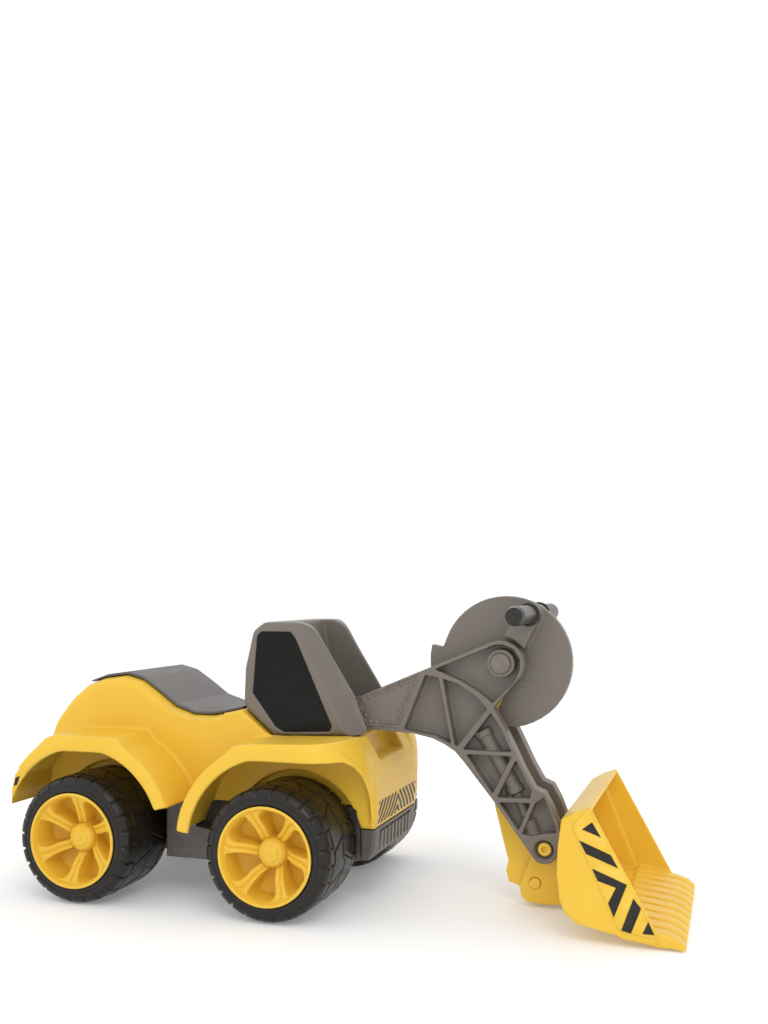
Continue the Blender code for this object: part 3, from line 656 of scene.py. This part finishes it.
def arch_stations(axle_x, start, end, steps, height):
    """Band stations round a wheel arch, angles in degrees."""
    inner = arc((axle_x, AXLE_Z), ARCH_R + 0.3, start, end, steps)
    outer = arc((axle_x, AXLE_Z), ARCH_R + height, start, end, steps)
    return [((x0, FENDER_HALF, z0), (x1, FENDER_HALF, z1), (0.0, 1.0))
            for (x0, z0), (x1, z1) in zip(inner, outer)]


def front_band():
    """Stations over the front arch, along the fender's side and round its corner."""
    band = arch_stations(0.0, 172.0, 107.0, 14, 14.0)
    for x in (-14.0, 10.0, FRONT_CORNER_X - 2.0):
        band.append(((x, FENDER_HALF, ARCH_TOP), (x, FENDER_HALF, 183.0), (0.0, 1.0)))
    for swing in range(84, 5, -6):
        low = follow(ARCH_LINE, swing)
        turn = math.radians(swing)
        tall = 3.0 + 11.5 * smooth_step(10.0, 60.0, swing)
        fade = smooth_step(6.0, 40.0, swing)
        band.append((corner_point(swing, low, 0.0), corner_point(swing, low + tall, 0.0),
                     (math.cos(turn) * fade, math.sin(turn) * fade)))
    return band


def rear_band(axle_x):
    """Stations over a rear arch."""
    band = arch_stations(axle_x, 21.0, 73.0, 12, 14.0)
    for x in (axle_x + 14.0, axle_x - 14.0):
        band.append(((x, FENDER_HALF, ARCH_TOP), (x, FENDER_HALF, 182.5), (0.0, 1.0)))
    return band + arch_stations(axle_x, 107.0, 138.0, 6, 13.0)


def crown(obj):
    """Round the saddle and hump over towards the sides, as the moulding does."""
    for vert in obj.data.vertices:
        x, y, z = vert.co.x / MM - SHIFT_X, vert.co.y / MM, vert.co.z / MM
        reach = abs(y) - CROWN_Y
        if x < SADDLE_BACK_X and reach > 0.0 and z > CROWN_Z and abs(y) < BODY_HALF + 3.0:
            share = min(1.0, reach / CROWN_WIDTH)
            drop = CROWN_DROP * (1.0 - math.sqrt(max(0.0, 1.0 - share * share)))
            drop *= smooth_step(CROWN_Z, 205.0, z)
            vert.co.z -= drop * MM
    return obj


def make_body():
    """The body shell with rounded front corners and fender bands."""
    rear_axle_x = in_axle_view(middle("rear_axle"))[0]
    shell = cad_copy("body_shell")
    flat = ((0.0, 150.0), (90.0, 150.0))
    for side in (-1, 1):
        carve(shell, corner_solid(side, 50.0, 0.0, flat, 205.0))
    parts = [shell]
    for side in (-1, 1):
        parts.append(corner_solid(side, 0.0, WALL + 0.5, ARCH_LINE, 187.0))
        parts.append(lip_band(front_band(), side))
        parts.append(lip_band(rear_band(rear_axle_x), side))
    body = crown(melt("body_look", parts, 1.5, 7))
    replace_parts(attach(dress(body, YELLOW), "base"), "body_shell")
    make_fascia_film(body)


def film_bar(edge, width, lean, way, surface):
    """One slanted bar of film, laid on the front of a surface and cut off at the film's edges."""
    loops = []
    for k in range(17):
        z = FILM_LOW + (FILM_HIGH - FILM_LOW) * k / 16
        near = max(0.0, edge - lean * k / 16)
        far = min(FILM_HALF, edge + width - lean * k / 16)
        if far - near < 0.4:
            continue
        row = []
        spots = (near, (near + far) / 2, far)
        for lift, order in ((0.3, spots), (-0.6, spots[::-1])):
            for across in order:
                hit = surface.ray_cast(place(200.0, way * across, z), BACKWARD)[0]
                row.append((in_axle_view(hit)[0] + lift, way * across, z))
        loops.append(row)
    return loft(loops)


def make_fascia_film(body):
    """Hazard bars that meet in a chevron, on the fascia over the bumper."""
    shape = bmesh.new()
    shape.from_mesh(body.data)
    surface = BVHTree.FromBMesh(shape)
    shape.free()
    bars = []
    for k in range(CHEVRONS):
        for way in (-1, 1):
            bars.append(film_bar(CHEVRON_PITCH * k + 5.0, 6.3, 25.0, way, surface))
    for side in (-1, 1):
        y = side * FENDER_HALF
        bars.append(prism(TAIL_MARK, y - side * 0.8, y + side * 0.3))
    film = gather("hazard_film", bars)
    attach(dress(film, FILM, 30.0), "base")


def pillar_wedge(side):
    """Cuts the broad chamfer off a front pillar's outer edge."""
    low, high = (76.5, 184.0), (4.3, 323.0)
    loops = []
    for x, z in (low, high):
        corners = ((x + 1.0, 52.0), (x - 19.0, 80.0), (x + 40.0, 80.0), (x + 40.0, 52.0))
        loops.append([(cx, side * cy, z) for cx, cy in corners])
    return loft(loops)


def roof_corner(outline):
    """Cuts a corner of the cab's roof line right across."""
    return prism(outline, -90.0, 90.0)


def make_cab():
    """The cab with chamfered pillars and a rounded roof line, and the saddle's cover."""
    cab = cad_copy("cab_frame")
    for side in (-1, 1):
        carve(cab, pillar_wedge(side))
    front = arc((-10.5, 285.5), 30.0, 90.0, 32.0, 10)
    rear = arc((-35.7, 290.5), 25.0, 90.0, 167.0, 10)
    carve(cab, roof_corner(front + [(15.5, 301.0), (60.0, 301.0), (60.0, 325.0), (-10.5, 325.0)]),
          roof_corner(rear + [(-60.6, 295.6), (-99.0, 295.6), (-99.0, 325.0), (-35.7, 325.0)]))
    look = melt("cab_look", [cab], 1.1, 8)
    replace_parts(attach(dress(look, GREY), "base"), "cab_frame")
    cover = melt("cover_look", [cad_copy("seat_cover")], 1.2, 6)
    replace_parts(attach(dress(cover, DARK_GREY), "base"), "seat_cover")


# ---------------------------------------------------------------- boom, crank and rod
CRANK = in_axle_view(JOINTS["crank_turn"])
TIP = in_axle_view(JOINTS["bucket_tilt"])
BOOM_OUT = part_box("boom_left")[1].y / MM
DISC_HALF = 6.0
GUSSET = [(51.0, 224.5), (129.5, 257.0), (105.5, 197.8), (69.5, 197.8)]
RAM_LINE = ((204.0, 189.0), (236.0, 134.5), (256.0, 88.0))


def gusset_rivets(side):
    """Rivet heads round the plate at the boom's root."""
    centre = (sum(x for x, z in GUSSET) / 4.0, sum(z for x, z in GUSSET) / 4.0)
    inner = [(x + (centre[0] - x) * 0.13, z + (centre[1] - z) * 0.16) for x, z in GUSSET]
    spots = along(inner + inner[:1], 8.2)[:-1]
    return [dome(x, side * BOOM_OUT, z, 2.3, 0.75) for x, z in spots]


def ram_relief(side):
    """Half of a hydraulic ram, moulded on the web between the ribs."""
    top, collar, eye = RAM_LINE
    y = side * (BOOM_OUT - 14.5)
    neck = (collar[0] + 3.0, collar[1] - 6.5)
    head = (top[0] - 3.5, top[1] + 6.0)
    return [bar(top, collar, y, 8.4), bar(head, top, y, 10.2), bar(collar, neck, y, 9.8),
            bar(neck, eye, y, 5.4), bar((252.0, 98.0), (259.0, 81.0), y, 8.6)]


def make_boom_shells():
    """The boom's two sides with ram, crank ring, gusset bead and rivets."""
    for hand, side in SIDES:
        parts = [cad_copy("boom_" + hand)] + ram_relief(side)
        ring = [(12.4, 34.0), (12.4, 36.6), (13.0, 37.2), (14.6, 37.2), (15.3, 36.4), (15.3, 34.0)]
        parts.append(turned(ring, CRANK, side, 64))
        shell = melt("boom_skin", parts, 0.9, 3)
        carve(shell, turned([(0.0, 30.5), (10.6, 30.5), (11.3, 40.0), (0.0, 40.0)], TIP, side, 48))
        border = [(x, side * (BOOM_OUT - 0.2), z) for x, z in GUSSET]
        eye = [(TIP[0] + x, side * (BOOM_OUT - 0.5), TIP[1] + z)
               for x, z in arc((0.0, 0.0), 13.0, 0.0, 345.0, 24)]
        extras = gusset_rivets(side) + [tube(border, 1.7, True), tube(eye, 1.3, True)]
        look = gather("boom_look_" + hand, [shell] + extras)
        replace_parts(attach(dress(look, GREY), "boom"), "boom_" + hand)


def make_pivot_caps():
    """Yellow pin heads with a hexagon socket, sunk in the boom's eyes."""
    def socket(r, y, angle):
        return (r / math.cos((angle % (math.pi / 3)) - math.pi / 6), y) if r == 3.4 else (r, y)

    for hand, side in SIDES:
        head = [(0.0, 28.0), (6.8, 28.0), (7.3, 29.5), (7.6, 32.4), (7.2, 33.4), (6.2, 34.1),
                (4.6, 34.3), (3.4, 33.8), (3.4, 31.0), (0.0, 31.0)]
        look = turned(head, TIP, side, 48, socket, name="pivot_look_" + hand)
        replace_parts(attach(dress(look, YELLOW, 40.0), "bucket"),
                    "bucket_pivot_pin_" + hand)


def make_crank():
    """The disc, with a faint ridge across each face."""
    parts = [cad_copy("crank_disc")]
    for side in (-1, 1):
        parts.append(bar((237.5, 249.7), (280.0, 247.1), side * (DISC_HALF - 0.3), 1.3))
    look = melt("crank_look", parts, 1.0, 3)
    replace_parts(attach(dress(look, GREY), "crank"), "crank_disc")


def make_rod():
    """The push rod with softened edges."""
    look = melt("rod_look", [cad_copy("push_rod")], 0.9, 4)
    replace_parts(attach(dress(look, YELLOW), "rod"), "push_rod")


# ---------------------------------------------------------------- bucket
BUCKET_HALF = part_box("bucket")[1].y / MM
STRIPES = (
    [(324.3, 114.7), (334.3, 122.3), (343.2, 107.8)],
    [(321.6, 103.5), (352.5, 91.3), (359.7, 78.8), (328.3, 90.7)],
    [(334.3, 76.6), (368.2, 63.3), (355.5, 30.0), (349.9, 43.6), (357.6, 59.5), (339.7, 64.8)],
    [(374.3, 50.3), (381.7, 41.1), (372.1, 16.0), (362.6, 18.0)],
    [(388.5, 28.7), (394.3, 16.6), (383.0, 16.6)],
)
BAND = [(331.0, 135.0), (314.5, 117.5), (357.5, 22.5), (362.0, 17.0), (396.5, 12.8)]
LOBE = [(316.0, 123.0), (306.0, 117.0), (302.5, 92.0), (302.0, 66.0), (304.0, 44.0), (309.0, 32.0),
        (320.0, 22.5), (357.0, 19.0)]
FINGER = [(350.0, 16.0), (360.0, 22.6), (386.0, 18.6), (404.0, 16.2), (416.0, 12.0), (423.0, 6.6),
          (424.4, 3.6), (421.0, 1.5), (412.0, 2.6), (396.0, 3.0), (384.0, 5.6)]
FINGERS = 10
FINGER_HALF = 9.0


def make_bucket():
    """The bucket with fingers, bands, lobes and hazard stripes."""
    parts = [cad_copy("bucket")]
    pitch = 2.0 * (BUCKET_HALF - 1.0) / FINGERS
    for k in range(FINGERS):
        y = -BUCKET_HALF + 1.0 + pitch * (k + 0.5)
        parts.append(prism(FINGER, y - FINGER_HALF, y + FINGER_HALF, 4.4, 4))
    bands = []
    for side in (-1, 1):
        y = side * BUCKET_HALF
        bands.append(prism(BAND, y - side * 2.0, y + side * 1.5, 0.7, 2))
        inner = side * (BUCKET_HALF - 4.0)
        parts.append(prism(LOBE, inner + side * 1.0, inner - side * 1.5, 0.5, 1))
    half = BUCKET_HALF - 3.0
    parts.append(tube([(331.0, -half, 133.6), (331.0, half, 133.6)], 2.6))
    look = gather("bucket_look", [melt("bucket_skin", parts, 1.1, 4)] + bands)
    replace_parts(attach(dress(look, YELLOW), "bucket"), "bucket")
    for hand, side in SIDES:
        y = side * (BUCKET_HALF + 1.5)
        films = [prism(outline, y - side * 0.5, y + side * 0.35) for outline in STRIPES]
        film = gather("stripes_look_" + hand, films)
        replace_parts(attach(dress(film, FILM, 30.0), "bucket"),
                    "bucket_stripes_" + hand)


# ---------------------------------------------------------------- stage
LAMPS = (("key", (1.1, -2.0, 2.2), 1.2, 16.0),        # name, spot, size, power
         ("fill", (-2.2, -1.6, 1.2), 2.0, 3.0),
         ("rim", (-0.4, 2.2, 1.8), 1.5, 4.0))
LAMP_TARGET = Vector((0.0, 0.0, 0.1))
FLOOR_GLOW = 0.16
CAMERA_SPOT = (0.4226, -1.1959, 0.3521)
CAMERA_TILT, CAMERA_TURN = 89.7, 18.2                 # degrees
CAMERA_LENS, CAMERA_SHIFT = 37.75, 0.0814


def make_stage():
    """A pale floor, a white world and three soft lamps."""
    shape = bmesh.new()
    corners = [(-6, -4), (6, -4), (6, 8), (-6, 8)]
    shape.faces.new([shape.verts.new((x, y, cad_low.z)) for x, y in corners])
    floor = new_object("floor", shape)
    n = Nodes("floor_paper")
    n.to("Base Color", n.mix(n.noise(3.0), (0.86, 0.86, 0.86, 1), (0.89, 0.89, 0.89, 1)))
    n.to("Roughness", n.spread(n.noise(20.0), 0.7, 0.8))
    n.to("Emission Color", (1.0, 1.0, 1.0, 1.0))
    n.to("Emission Strength", FLOOR_GLOW)
    n.to("Specular IOR Level", 0.0)
    floor.data.materials.append(n.material)
    world = bpy.data.worlds.new("studio")
    bpy.context.scene.world = world
    world.use_nodes = True
    back = world.node_tree.nodes["Background"]
    back.inputs["Color"].default_value = (1.0, 1.0, 1.0, 1.0)
    back.inputs["Strength"].default_value = 1.0
    for name, where, size, power in LAMPS:
        lamp = bpy.data.lights.new(name, "AREA")
        lamp.size, lamp.energy = size, power
        obj = bpy.data.objects.new(name, lamp)
        bpy.context.collection.objects.link(obj)
        obj.location = where
        towards = LAMP_TARGET - Vector(where)
        obj.rotation_euler = towards.to_track_quat("-Z", "Y").to_euler()


def make_camera():
    """The main view, from the front right of the toy."""
    camera = bpy.data.objects.new("camera", bpy.data.cameras.new("camera"))
    bpy.context.collection.objects.link(camera)
    camera.location = CAMERA_SPOT
    camera.rotation_euler = (math.radians(CAMERA_TILT), 0.0, math.radians(CAMERA_TURN))
    camera.data.lens = CAMERA_LENS
    camera.data.shift_y = CAMERA_SHIFT
    bpy.context.scene.camera = camera
    bpy.context.scene.view_settings.view_transform = "Standard"


finish_cad_nodes()
make_wheels()
make_body()
make_cab()
make_boom_shells()
make_pivot_caps()
make_crank()
make_rod()
make_bucket()
make_stage()
make_camera()
bpy.context.view_layer.update()
